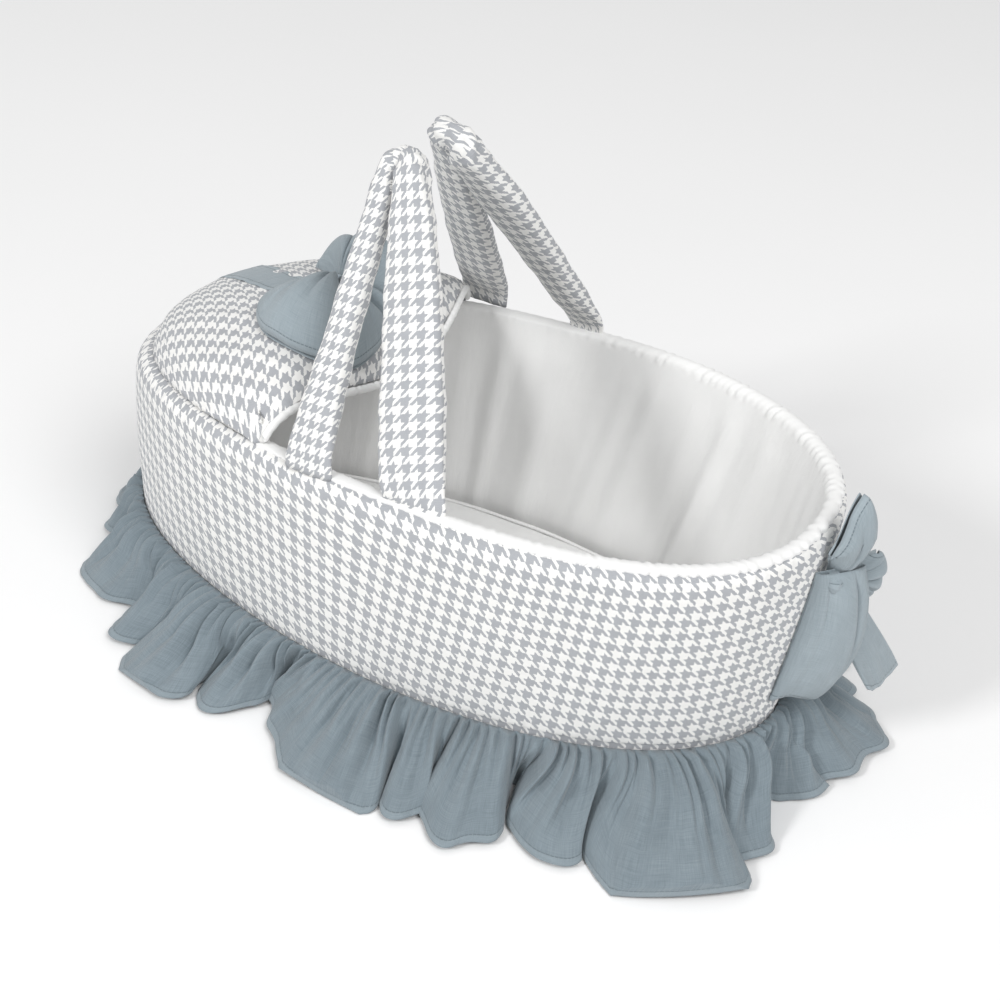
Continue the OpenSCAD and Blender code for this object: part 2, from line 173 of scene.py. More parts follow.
def front_rise(y):
    """Rise of the cover's front edge, which swells beside its corners and sags in the middle."""
    swell = FRONT_SWELL * (1 - np.minimum(1, np.abs(y) / COVER_EDGE_Y) ** 8) ** 0.8
    return swell - FRONT_SAG * (1 - np.minimum(1, np.abs(y) / RIM_HALF_WIDTH) ** 2) ** 3


def cover_under(x, y):
    """Height of the cover's underside."""
    fade = np.clip((x - front_x(y) + 70) / 70, 0, 1)
    bulge = np.maximum(0, 1 - rim_distance(x, y) ** 4) ** 0.65
    return rim_z(x) + COVER_BASE + mix(COVER_DOME * bulge, front_rise(y), fade * fade)


def cover_over(x, y):
    """Height of the cover's outside."""
    edge = np.minimum(1, rim_distance(x, y)) ** 8
    return cover_under(x, y) + mix(COVER_THICKNESS, COVER_EDGE_THICKNESS, edge)


def arc_table(count=7200):
    """Angles round the base outline and the distance that each has gone, in millimetres."""
    angle = np.linspace(0, 2 * np.pi, count + 1)
    x, y = egg_point(angle, BASE_HALF_LENGTH, BASE_HALF_WIDTH, BASE_EXPONENT)
    step = np.hypot(np.diff(x), np.diff(y))
    return angle, np.concatenate([[0], np.cumsum(step)])


ARC_ANGLE, ARC_LENGTH = arc_table()
PERIMETER = ARC_LENGTH[-1]


def angle_at(distance):
    """Angle on the outline at a distance round it, starting at the middle of the far side."""
    start = PERIMETER / 4
    turns = np.floor((distance + start) / PERIMETER)
    rest = distance + start - turns * PERIMETER
    return np.interp(rest, ARC_LENGTH, ARC_ANGLE) + 2 * np.pi * turns


def wobble(share, counts, seed):
    """A smooth, irregular wave round a closed loop, mostly within -1 to 1."""
    draw = np.random.default_rng(seed)
    total = 0
    for count in counts:
        total = total + draw.uniform(0.6, 1) * np.sin(2 * np.pi * (count * share + draw.random()))
    return total / (0.9 * math.sqrt(len(counts)))


def curve_through(points, count):
    """Points along a Catmull-Rom curve through the given rows."""
    rows = np.asarray(points, float)
    ends = np.vstack([2 * rows[0] - rows[1], rows, 2 * rows[-1] - rows[-2]])
    place = np.linspace(0, len(rows) - 1, count)
    first = np.minimum(place.astype(int), len(rows) - 2)
    t = (place - first)[:, None]
    p0, p1, p2, p3 = (ends[first + k] for k in range(4))
    return 0.5 * (2 * p1 + (p2 - p0) * t + (2 * p0 - 5 * p1 + 4 * p2 - p3) * t ** 2
                  + (3 * p1 - p0 - 3 * p2 + p3) * t ** 3)


def lengths(points):
    """Distance gone along the first axis of a grid of points."""
    step = np.linalg.norm(np.diff(points, axis=0), axis=-1)
    return np.concatenate([np.zeros((1,) + step.shape[1:]), np.cumsum(step, axis=0)])


def full_turn(count):
    """Angles once round a circle, the last one step short of the first."""
    return np.linspace(0, 2 * np.pi, count, endpoint=False)


def close_round(grid):
    """The grid with its first column again after its last."""
    return np.concatenate([grid, grid[:, :1]], axis=1)


def lengths_round(grid):
    """Distance gone round each row of a grid, back to its first column."""
    return lengths(close_round(grid).swapaxes(0, 1)).T


# ---- Meshes -------------------------------------------------------------------

def link(made):
    bpy.context.scene.collection.objects.link(made)


def grid_piece(name, grid, uv, wrap=False, thickness=CLOTH, flip=False):
    """A cloth surface through a grid of points in millimetres, with rows along the first axis.
    uv has one column more than the grid where the columns close round (wrap)."""
    rows, cols = grid.shape[:2]
    index = np.arange(rows * cols).reshape(rows, cols)
    if wrap:
        index = close_round(index)
    faces = np.stack([index[:-1, :-1], index[:-1, 1:], index[1:, 1:], index[1:, :-1]], -1)
    corners = np.stack([uv[:-1, :-1], uv[:-1, 1:], uv[1:, 1:], uv[1:, :-1]], 2)
    if flip:
        faces = faces[..., ::-1]
        corners = corners[:, :, ::-1]
    mesh = bpy.data.meshes.new(name)
    mesh.from_pydata((grid.reshape(-1, 3) * MM).tolist(), [], faces.reshape(-1, 4).tolist())
    layer = mesh.uv_layers.new(name="cloth")
    layer.data.foreach_set("uv", corners.reshape(-1).astype(np.float32))
    mesh.polygons.foreach_set("use_smooth", [True] * len(mesh.polygons))
    piece = bpy.data.objects.new(name, mesh)
    link(piece)
    if thickness:
        solid = piece.modifiers.new("thickness", "SOLIDIFY")
        solid.thickness = thickness * MM
        solid.offset = -1
    return piece


def weld_shut(piece):
    """Joins the points of a piece that lie in the same place."""
    weld = piece.modifiers.new("weld", "WELD")
    weld.merge_threshold = 0.00001
    return piece


def capped_tube(name, rings):
    """A closed tube through rings of points in millimetres, with a pole at each end."""
    poles = [rings[0].mean(0), rings[-1].mean(0)]
    grid = np.concatenate([np.repeat(poles[0][None, None], rings.shape[1], 1), rings,
                           np.repeat(poles[1][None, None], rings.shape[1], 1)])
    around = lengths_round(grid)
    along = lengths(grid.mean(1))[:, None] * np.ones(around.shape[1])
    uv = np.stack([along, around], -1)
    return weld_shut(grid_piece(name, grid, uv, wrap=True, thickness=0))


def apply_modifiers(piece):
    """Leaves the piece as the mesh that its modifiers make."""
    graph = bpy.context.evaluated_depsgraph_get()
    final = bpy.data.meshes.new_from_object(piece.evaluated_get(graph))
    piece.modifiers.clear()
    piece.data = final
    return piece


def place_piece(piece, material, body, nodes):
    """Gives a piece its material and its body, and hides the CAD nodes that it stands for."""
    piece.data.materials.clear()
    piece.data.materials.append(material)
    if body:
        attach(piece, body)
    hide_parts(*nodes)
    return piece


# ---- Materials ----------------------------------------------------------------

class Recipe:
    """Adds nodes to one material and joins them up."""

    def __init__(self, name, roughness, sheen=0.0):
        self.material = bpy.data.materials.new(name)
        self.material.use_nodes = True
        self.tree = self.material.node_tree
        self.shader = self.tree.nodes["Principled BSDF"]
        self.shader.inputs["Roughness"].default_value = roughness
        self.shader.inputs["Sheen Weight"].default_value = sheen
        self.shader.inputs["Sheen Roughness"].default_value = 0.6
        self.shader.inputs["Specular IOR Level"].default_value = 0.25

    def node(self, kind, inputs, **settings):
        made = self.tree.nodes.new(kind)
        for key, value in settings.items():
            setattr(made, key, value)
        for key, value in inputs.items():
            self.feed(made.inputs[key], value)
        return made

    def feed(self, socket, value):
        if isinstance(value, bpy.types.NodeSocket):
            self.tree.links.new(value, socket)
        else:
            socket.default_value = value

    def math(self, operation, a, b=0.0, c=0.0):
        return self.node("ShaderNodeMath", {0: a, 1: b, 2: c}, operation=operation).outputs[0]

    def cloth_axes(self):
        """The piece's own cloth coordinates, as two values."""
        uv = self.node("ShaderNodeUVMap", {}, uv_map="cloth").outputs[0]
        parts = self.node("ShaderNodeSeparateXYZ", {0: uv})
        return uv, parts.outputs[0], parts.outputs[1]

    def object_axes(self, scale):
        """Object X and Y times scale, for a CAD node that has no cloth coordinates."""
        place = self.node("ShaderNodeTexCoord", {}).outputs["Object"]
        size = (scale, scale, scale)
        scaled = self.node("ShaderNodeVectorMath", {0: place, 1: size}, operation="MULTIPLY")
        parts = self.node("ShaderNodeSeparateXYZ", {0: scaled.outputs[0]})
        return scaled.outputs[0], parts.outputs[0], parts.outputs[1]

    def stripe(self, value, period, width):
        """1 in the first part of each period of a value, as far as width, and 0 in the rest."""
        return self.math("LESS_THAN", self.math("FLOORED_MODULO", value, period), width)

    def finish(self, colour, normal):
        """Joins the colour and the surface's bumps to the shader."""
        self.feed(self.shader.inputs["Base Color"], colour)
        self.feed(self.shader.inputs["Normal"], normal)
        return self.material

    def noise(self, vector, scale, detail=2.0, stretch=(1, 1, 1)):
        moved = self.node("ShaderNodeMapping", {"Vector": vector, "Scale": stretch}).outputs[0]
        inputs = {"Vector": moved, "Scale": scale, "Detail": detail}
        return self.node("ShaderNodeTexNoise", inputs).outputs[0]

    def colour_mix(self, share, a, b):
        mixer = self.node("ShaderNodeMix", {0: share, 6: a, 7: b}, data_type="RGBA")
        return mixer.outputs[2]

    def ripple(self, value, pitch):
        """A 0 to 1 wave along a value, one crest for each pitch."""
        wave = self.math("SINE", self.math("MULTIPLY", value, 2 * math.pi / pitch))
        return self.math("MULTIPLY_ADD", wave, 0.5, 0.5)

    def weave(self, u, v, pitch):
        """Height of a plain weave of threads at the given pitch."""
        return self.math("MULTIPLY", self.ripple(u, pitch), self.ripple(v, pitch))

    def bump(self, height, distance, strength=1.0, under=None):
        inputs = {"Height": height, "Distance": distance, "Strength": strength}
        if under:
            inputs["Normal"] = under
        return self.node("ShaderNodeBump", inputs).outputs[0]


def houndstooth_material(name, axes):
    """Cotton with a grey and off-white houndstooth of eight threads to a repeat."""
    recipe = Recipe(name, roughness=0.88, sheen=0.15)
    vector, u, v = axes(recipe)
    jitter = recipe.math("MULTIPLY_ADD", recipe.noise(vector, 9.0, 3.0), 0.7, -0.35)
    x = recipe.math("MULTIPLY_ADD", u, 8.0, jitter)
    y = recipe.math("MULTIPLY_ADD", v, 8.0, jitter)
    warp = recipe.stripe(x, 8.0, 4.0)
    weft = recipe.stripe(y, 8.0, 4.0)
    diagonal = recipe.math("ADD", y, x)
    over = recipe.stripe(diagonal, 4.0, 2.0)
    chosen = recipe.math("MULTIPLY", over, warp)
    beneath = recipe.math("MULTIPLY", recipe.math("SUBTRACT", 1.0, over), weft)
    grey = recipe.math("ADD", chosen, beneath)
    yarns = recipe.weave(x, y, 0.5)
    faded = recipe.noise(vector, 0.9, 3.0)
    tint = recipe.colour_mix(faded, (0.31, 0.325, 0.355, 1), (0.385, 0.40, 0.43, 1))
    white = recipe.colour_mix(faded, (0.84, 0.835, 0.815, 1), (0.89, 0.885, 0.87, 1))
    dyed = recipe.math("MULTIPLY", grey, recipe.math("MULTIPLY_ADD", yarns, 0.2, 0.85))
    colour = recipe.colour_mix(dyed, white, tint)
    soft = recipe.bump(recipe.noise(vector, 1.3, 3.0), 0.0015, 0.5)
    return recipe.finish(colour, recipe.bump(yarns, 0.0002, 0.6, soft))


def lining_material(name):
    """Plain white poly-cotton, with cloth coordinates in millimetres."""
    recipe = Recipe(name, roughness=0.8, sheen=0.2)
    vector, u, v = recipe.cloth_axes()
    cloudy = recipe.noise(vector, 0.02, 4.0)
    yarns = recipe.weave(u, v, 0.7)
    colour = recipe.colour_mix(cloudy, (0.86, 0.86, 0.85, 1), (0.93, 0.93, 0.925, 1))
    thread = recipe.math("MULTIPLY_ADD", yarns, 0.06, 0.96)
    shaded = recipe.node("ShaderNodeVectorMath", {0: colour}, operation="SCALE")
    recipe.feed(shaded.inputs["Scale"], thread)
    creases = recipe.bump(recipe.noise(vector, 0.09, 3.0, (1, 0.35, 1)), 0.002, 0.35)
    return recipe.finish(shaded.outputs[0], recipe.bump(yarns, 0.00015, 0.5, creases))


HEM = 5.0  # width of the narrow stitched hems, in millimetres


def chambray_material(name, dark, light):
    """Slate chambray with slubs. The second cloth coordinate is the distance from the hem."""
    recipe = Recipe(name, roughness=0.82, sheen=0.25)
    vector, u, v = recipe.cloth_axes()
    across = recipe.noise(vector, 1.0, 3.0, (2.2, 0.06, 1))
    along = recipe.noise(vector, 1.0, 3.0, (0.05, 2.0, 1))
    slubs = recipe.math("MULTIPLY", recipe.math("ADD", across, along), 0.5)
    cloudy = recipe.noise(vector, 0.03, 3.0)
    share = recipe.math("MULTIPLY_ADD", slubs, 1.7, -0.35)
    share = recipe.math("ADD", share, recipe.math("MULTIPLY_ADD", cloudy, 0.5, -0.25))
    clamp = recipe.node("ShaderNodeClamp", {0: share}).outputs[0]
    colour = recipe.colour_mix(clamp, dark, light)
    near_line = recipe.math("COMPARE", v, HEM, 0.35)
    gap = recipe.stripe(u, 3.0, 2.2)
    stitch = recipe.math("MULTIPLY", near_line, gap)
    sewn = recipe.colour_mix(stitch, colour, (0.14, 0.18, 0.205, 1))
    hem = recipe.math("LESS_THAN", v, HEM)
    paler = recipe.math("MULTIPLY", hem, 0.18)
    edged = recipe.colour_mix(paler, sewn, (0.42, 0.49, 0.53, 1))
    step = recipe.math("SUBTRACT", hem, recipe.math("MULTIPLY", near_line, 1.5))
    layered = recipe.bump(step, 0.0005, 0.7)
    creases = recipe.bump(recipe.noise(vector, 0.1, 3.0, (1, 0.5, 1)), 0.003, 0.5, layered)
    yarns = recipe.math("ADD", recipe.weave(u, v, 0.6), slubs)
    return recipe.finish(edged, recipe.bump(yarns, 0.0002, 0.6, creases))


def fibre_material(name, dark, light, scale, depth):
    """Foam, wadding, board or thread: a mottled colour with a rough surface."""
    recipe = Recipe(name, roughness=0.9)
    vector = recipe.object_axes(1000.0)[0]
    grain = recipe.noise(vector, scale, 5.0)
    return recipe.finish(recipe.colour_mix(grain, dark, light), recipe.bump(grain, depth, 0.7))


def flat_axes(recipe):
    """Cloth coordinates of a flat CAD node, in repeats of the houndstooth."""
    return recipe.object_axes(1 / (CHECK_ALONG * MM))


HOUNDSTOOTH = houndstooth_material("houndstooth_cotton", Recipe.cloth_axes)
HOUNDSTOOTH_FLAT = houndstooth_material("houndstooth_flat", flat_axes)
LINING = lining_material("white_lining")
CHAMBRAY = chambray_material("slate_chambray", (0.22, 0.27, 0.30, 1), (0.38, 0.44, 0.475, 1))
# The ruffle has the same chambray in darker colours: painted shade for the shadow in its deep folds.
RUFFLE_CLOTH_PAINTED_SHADE = chambray_material("slate_chambray_ruffle_painted_shade", (0.12, 0.157, 0.182, 1), (0.275, 0.33, 0.365, 1))
FOAM = fibre_material("soft_foam", (0.80, 0.77, 0.66, 1), (0.90, 0.88, 0.80, 1), 0.9, 0.0006)
WADDING = fibre_material("wadding", (0.82, 0.82, 0.80, 1), (0.92, 0.92, 0.91, 1), 0.4, 0.001)
BOARD = fibre_material("base_board", (0.30, 0.19, 0.10, 1), (0.42, 0.29, 0.18, 1), 0.25, 0.0002)
FLAT_LINING = fibre_material("lining_flat", (0.80, 0.80, 0.785, 1), (0.89, 0.89, 0.885, 1), 0.05, 0.0003)
THREAD = fibre_material("thread", (0.72, 0.72, 0.70, 1), (0.88, 0.88, 0.86, 1), 2.0, 0.0002)


# ---- Body ---------------------------------------------------------------------

def ring_uv(grid, distance, scale_u, scale_v, from_top=False):
    """Cloth coordinates of a ring: distance round it, and the distance up its rows."""
    up = lengths(grid)
    if from_top:
        up = up[-1:] - up
    up = close_round(up)
    along = np.concatenate([distance, [PERIMETER]])[None, :] * np.ones((len(grid), 1))
    return np.stack([along * scale_u, up * scale_v], -1)


def ring_angles(count):
    distance = np.arange(count) * PERIMETER / count
    return distance, angle_at(distance), distance / PERIMETER


def outer_wall():
    """Houndstooth outer wall, rolled in to the rim's seam, with puckers along its seams."""
    distance, angle, share = ring_angles(960)
    profile = curve_through([
        (-0.99, -11, 0), (-0.9, -4, 0), (-0.6, -1, 0), (-0.25, 0.3, 0), (0, 0, 0),
        (0.06, 1.2, 0), (0.35, 0, 0.55), (0.7, 0, 0.9), (0.88, 0, 1), (0.955, 0, 0.86),
        (0.99, -0.2, 0.45), (1.0, -2.0, 0)], 84)
    level, off, swell = (profile[:, k:k + 1] for k in range(3))
    by_rim = np.exp(-((1 - level) / 0.07) ** 2)
    by_seam = np.exp(-(level / 0.09) ** 2)
    pucker = wobble(share, (97, 131, 151, 173), 3)[None, :]
    dent = wobble(share, (7, 11, 17), 4)[None, :] * np.sin(np.pi * np.clip(level, 0, 1))
    off = off + 0.45 * pucker * (by_rim + 0.8 * by_seam) + 0.7 * dent
    grid = wall_points(angle[None, :], level, off, swell * MEAN_SWELL)
    uv = ring_uv(grid, distance, 1 / CHECK_ALONG, 1 / CHECK_UP)
    piece = grid_piece("outer_wall_cloth", grid, uv, wrap=True)
    place_piece(piece, HOUNDSTOOTH, "basket", ["outer_wall"])
    return piece


def wall_lining():
    """White lining over the rolled lip and down inside, hanging in soft folds."""
    distance, angle, share = ring_angles(900)
    lip = 4.2 / WALL_HEIGHT
    profile = curve_through([
        (0.985, -0.9), (1.0, -0.1), (1 + lip * 0.62, -0.6), (1 + lip, -3.4), (1 + lip * 0.92, -7.0),
        (1 + lip * 0.2, -10.2), (0.95, -11.3), (0.84, -11.9), (0.5, -14), (0.2, -16.2),
        (0, -WALL_DEPTH), (-0.45, -WALL_DEPTH), (-0.9, -WALL_DEPTH)], 96)
    level, off = profile[:, :1], profile[:, 1:]
    rim_x = wall_points(angle, 1.0, 0)[:, 0][None, :]
    full = 0.2 + 0.25 * smooth_step(-85, -69, rim_x) + 0.55 * smooth_step(-20, 150, rim_x)
    level = np.where(level > 1, 1 + full * (level - 1), level)
    on_lip = smooth_step(0.97, 1.0, level)
    off = off - 3.0 * on_lip * smooth_step(-69, -85, rim_x)
    below = smooth_step(1.0, 0.8, level)
    pucker = wobble(share, (118, 151, 187, 211), 11)[None, :]
    folds = wobble(share, (13, 19, 27, 34), 12)[None, :]
    crease = wobble(share, (41, 53, 67), 13)[None, :]
    sway = wobble(share, (9, 13), 14)[None, :] * (1 - np.clip(level, 0, 1))
    deep = below * (1 - 0.55 * smooth_step(0.3, -0.2, level))
    gathered = 0.4 + 0.5 * smooth_step(-20, 150, rim_x)
    off = off + gathered * pucker * on_lip - deep * (1.6 + 1.4 * folds + 0.5 * crease * below)
    drift = 0.02 * sway * below
    grid = wall_points(angle[None, :] + drift, level, off)
    uv = ring_uv(grid, distance, 1, 1)
    piece = grid_piece("wall_lining_cloth", grid, uv, wrap=True)
    return place_piece(piece, LINING, "basket", ["wall_lining"])


def wall_foam():
    """Padding between the outer wall and the lining."""
    distance, angle = ring_angles(180)[:2]
    swells = [0, 0, 0, 0.5, 0.85, 0.9, 0.5]
    outside = list(zip([-0.97, -0.6, 0, 0.35, 0.7, 0.88, 0.95], [-13, -5, -3, -3, -3, -3, -4], swells))
    inside = [(0.96, -6, 0), (0.9, -8, 0), (0.5, -11, 0), (0, -15, 0), (-0.97, -15, 0)]
    profile = np.array(outside + inside + outside[:1], float)
    level, off, swell = (profile[:, k:k + 1] for k in range(3))
    grid = wall_points(angle[None, :], level, off, swell * MEAN_SWELL)
    uv = ring_uv(grid, distance, 1, 1)
    piece = weld_shut(grid_piece("wall_foam_padding", grid, uv, wrap=True, thickness=0))
    place_piece(piece, FOAM, "basket", ["wall_foam"])
    return piece


def meander(share, waves, sharpness, seed):
    """A hem line of unit cloth length, laid in broad panels with narrow folds between them: how far
    it has gone round, and how far it stands out. sharpness is the angle that a fold turns through."""
    turns = waves * share + 0.3 * wobble(share, (4, 7, 11), seed)
    part = turns - np.floor(turns)
    inwards = smooth_step(0.26, 0.32, part) * smooth_step(0.51, 0.45, part)
    outwards = smooth_step(0.49, 0.55, part) * smooth_step(0.74, 0.68, part)
    depth = 0.86 + 0.26 * wobble(share, (5, 8, 13), seed + 1)
    bow = -0.75 * np.sin(2 * np.pi * part) * (inwards + outwards < 0.5)
    heading = sharpness * depth * (outwards - inwards) + bow + 0.35 * wobble(share, (67, 83), seed + 2)
    gone = np.cumsum(np.cos(heading)) / len(share)
    out = np.cumsum(np.sin(heading)) / len(share)
    wave = np.fft.rfft(out - out.mean())
    wave[:waves // 3] = 0
    return gone - gone[0], np.fft.irfft(wave, len(share))


def hem_flare(angle):
    """How far the ruffle's hem stands out: least at the covered end, most at the near open corner."""
    degrees = np.degrees(angle) % 360
    covered = np.exp(-((degrees - 178) / 27) ** 2)
    open_corner = np.exp(-((degrees - 325) / 32) ** 2)
    return 51 - 27 * covered + 20 * open_corner


def ruffle():
    """The gathered ruffle: fine gathers at its seam that open into deep folded lobes at its hem."""
    columns, rows, lobes = 3200, 36, 22
    share = np.arange(columns) / columns
    down = np.linspace(0, 1, rows)[:, None]
    gone, out_wave = meander(share, lobes, 1.9, 21)
    closing = gone[-1] + gone[1]
    cloth_length = PERIMETER * 1.3 / closing
    at_seam, at_hem = share * PERIMETER, gone / closing * PERIMETER
    settle = smooth_step(0, 1, down) ** 0.8
    distance = mix(at_seam[None, :], at_hem[None, :], settle)
    pleat_turn = np.pi * 83 * share + 0.9 * wobble(share, (17, 23, 29), 22)
    gather_turn = np.pi * 167 * share + 0.8 * wobble(share, (37, 41, 53), 23)
    mid = (1.9 * np.abs(np.sin(pleat_turn)) - 1.2) * (1 + 0.5 * wobble(share, (11, 19, 31), 24))
    mid = mid[None, :] * np.sin(np.pi * np.clip(down * 1.1, 0, 1)) ** 0.8
    fine = (2 * np.abs(np.sin(gather_turn)) - 1) * (1 + 0.45 * wobble(share, (19, 31, 43), 26))
    fine = fine[None, :] * np.exp(-down * 3.0) * smooth_step(0, 0.06, down)
    flare = hem_flare(angle_at(distance))
    depth = np.clip(flare / 50, 0.5, 1.05) * 1.35 * cloth_length * out_wave[None, :]
    puff = np.sin(np.pi * np.clip(down * 2.2, 0, 1)) * 2.6
    out = 0.9 + flare * down ** 0.9 + depth * down ** 1.05 + puff + 4.8 * mid + 4.8 * fine
    side = np.abs(np.sin(angle_at(distance))) ** 6
    out = np.clip(out, 1.3 + 4 * down, 95 - 22 * side)
    lift = (0.5 + 0.5 * wobble(share, (9, 14, 22), 25))[None, :]
    height = 45.6 - 44.4 * down ** 1.1 + 0.8 * puff + 1.8 * mid * (1 - down) + 1.9 * fine
    height = np.maximum(height + 5 * lift * down ** 3, 1.2)
    grid = wall_points(angle_at(distance), height / SEAM_HEIGHT - 1, out)
    gone_down = lengths(grid)
    from_hem = gone_down[-1:] - gone_down
    from_hem = close_round(from_hem)
    along = np.linspace(0, cloth_length, columns + 1)[None, :] + 0 * from_hem
    piece = grid_piece("ruffle_cloth", grid, np.stack([along, from_hem], -1), wrap=True,
                       thickness=0.7, flip=True)
    # Its cloth is the darker copy of the chambray, which paints the shade of its folds.
    place_piece(piece, RUFFLE_CLOTH_PAINTED_SHADE, "basket", ["ruffle"])
    return piece


# ---- Mattress -----------------------------------------------------------------

def mattress_points(inset, edge_radius, crown):
    """Rings of a flat oval pad with round edges, from the middle of its underside upwards."""
    angle = full_turn(144)
    rings = []
    half = MATTRESS_THICKNESS / 2 + min(crown, 0)
    middle_z = MATTRESS_BOTTOM + half
    flat_shares = (0.04, 0.3, 0.6, 0.85)

    def add_flat_ring(share, z):
        x, y = egg_point(angle, (BASE_HALF_LENGTH - inset - edge_radius) * share,
                         (BASE_HALF_WIDTH - inset - edge_radius) * share, BASE_EXPONENT)
        rings.append(np.stack([x, y, np.full_like(x, z)], -1))

    for share in flat_shares:
        add_flat_ring(share, MATTRESS_BOTTOM)
    for turn in np.linspace(-math.pi / 2, math.pi / 2, 13):
        grow = inset + edge_radius * (1 - math.cos(turn))
        x, y = egg_point(angle, BASE_HALF_LENGTH - grow, BASE_HALF_WIDTH - grow, BASE_EXPONENT)
        z = middle_z + (half - edge_radius) * np.sign(turn) + edge_radius * math.sin(turn)
        rings.append(np.stack([x, y, np.full_like(x, z)], -1))
    for share in flat_shares[::-1]:
        rise = crown * (1 - share * share)
        add_flat_ring(share, MATTRESS_BOTTOM + 2 * half + rise)
    return np.array(rings)


def inflate(piece, voxel, cap, pressure, frames=20):
    """Fills a closed piece like a pad: cloth simulation on a remeshed copy, capped and applied."""
    remesh = piece.modifiers.new("even", "REMESH")
    remesh.mode = "VOXEL"
    remesh.voxel_size = voxel
    apply_modifiers(piece)
    count = len(piece.data.vertices)
    before = np.zeros(count * 3)
    piece.data.vertices.foreach_get("co", before)
    cloth = piece.modifiers.new("cloth", "CLOTH")
    cloth.settings.use_pressure = True
    cloth.settings.uniform_pressure_force = pressure
    cloth.settings.effector_weights.gravity = 0
    cloth.settings.bending_stiffness = 4
    scene = bpy.context.scene
    for number in range(1, frames + 1):
        scene.frame_set(number)
    graph = bpy.context.evaluated_depsgraph_get()
    after = np.zeros(count * 3)
    piece.evaluated_get(graph).data.vertices.foreach_get("co", after)
    piece.modifiers.clear()
    scene.frame_set(1)
    move = (after - before).reshape(-1, 3)
    size = np.linalg.norm(move, axis=1, keepdims=True)
    move *= np.minimum(1, cap / np.maximum(size, 1e-9))
    piece.data.vertices.foreach_set("co", (before.reshape(-1, 3) + move).reshape(-1))
    piece.data.update()
    return piece


def mattress():
    """The loose mattress: a soft oval pad in a white case with a piped edge."""
    piece = capped_tube("mattress_pad", mattress_points(MATTRESS_INSET + 1, 14, 1.0))
    apply_modifiers(piece)
    inflate(piece, voxel=0.005, cap=0.0022, pressure=4)
    piece.data.polygons.foreach_set("use_smooth", [True] * len(piece.data.polygons))
    flat_coordinates(piece)
    fine = piece.modifiers.new("smooth", "SUBSURF")
    fine.levels = fine.render_levels = 1
    place_piece(piece, LINING, "mattress", ["mattress_cover"])
    core = capped_tube("mattress_core_foam", mattress_points(MATTRESS_INSET + 5, 12, -2.5))
    place_piece(core, FOAM, "mattress", ["mattress_core"])
    angle = full_turn(360)
    inset = MATTRESS_INSET + 3.2
    x, y = egg_point(angle, BASE_HALF_LENGTH - inset, BASE_HALF_WIDTH - inset, BASE_EXPONENT)
    z = MATTRESS_BOTTOM + MATTRESS_THICKNESS - 5.5 + 0.4 * wobble(angle / (2 * np.pi), (9, 21), 31)
    line = np.stack([x, y, z], -1)
    piping = closed_cord("mattress_piping", line, 1.5)
    place_piece(piping, LINING, "mattress", [])
    return piece


def flat_coordinates(piece):
    """Cloth coordinates straight down on a piece, in millimetres."""
    mesh = piece.data
    for old in list(mesh.uv_layers):
        mesh.uv_layers.remove(old)
    layer = mesh.uv_layers.new(name="cloth")
    place = np.zeros(len(mesh.vertices) * 3)
    mesh.vertices.foreach_get("co", place)
    corner = np.zeros(len(mesh.loops), int)
    mesh.loops.foreach_get("vertex_index", corner)
    spot = place.reshape(-1, 3)[corner] / MM
    uv = np.stack([spot[:, 0] + spot[:, 2], spot[:, 1]], -1)
    layer.data.foreach_set("uv", uv.reshape(-1).astype(np.float32))


def line_frames(line, closed):
    """Unit directions sideways and up at each point of a line."""
    if closed:
        along = np.roll(line, -1, 0) - np.roll(line, 1, 0)
    else:
        along = np.gradient(line, axis=0)
    along = along / np.linalg.norm(along, axis=1, keepdims=True)
    side = np.cross(along, [0, 0, 1.0])
    side = side / np.maximum(np.linalg.norm(side, axis=1, keepdims=True), 1e-9)
    return side, np.cross(side, along)


def closed_cord(name, line, radius):
    """A round cord along a closed line."""
    side, up = line_frames(line, True)
    turn = full_turn(10)
    grid = (line[None] + radius * (np.cos(turn)[:, None, None] * side[None]
                                   + np.sin(turn)[:, None, None] * up[None]))
    grid = np.concatenate([grid, grid[:1]])
    gone = np.concatenate([[0], np.cumsum(np.linalg.norm(np.diff(line, axis=0), axis=1))])
    gone = np.concatenate([gone, [gone[-1] + np.linalg.norm(line[0] - line[-1])]])
    around = np.linspace(0, 2 * np.pi * radius, len(grid))
    uv = np.stack(np.broadcast_arrays(gone[None, :], around[:, None]), -1)
    return weld_shut(grid_piece(name, grid, uv, wrap=True, thickness=0))


# ---- Cover --------------------------------------------------------------------

def rim_angle(x):
    """Angle on the rim where it stands at a given X, on the far side."""
    return np.arccos(signed_power((x - RIM_SHIFT) / RIM_HALF_LENGTH, RIM_EXPONENT / 2))


def cover_plan(rows, columns, rim_off):
    """X and Y over the cover: the first row is on the rim, the last is the front edge."""
    across = np.linspace(0, 1, columns)[None, :]
    share = np.linspace(0, 1, rows)[:, None]
    near, far = 2 * np.pi - rim_angle(COVER_CORNERS[0]), rim_angle(COVER_CORNERS[1])
    angle = mix(near, far, across)
    rim_x, rim_y = egg_point(angle, RIM_HALF_LENGTH + rim_off, RIM_HALF_WIDTH + rim_off, RIM_EXPONENT)
    y_front = COVER_EDGE_Y * (2 * across - 1)
    x = mix(rim_x + RIM_SHIFT, front_x(y_front), share)
    y = mix(rim_y, y_front, share)
    return x, y, share, across


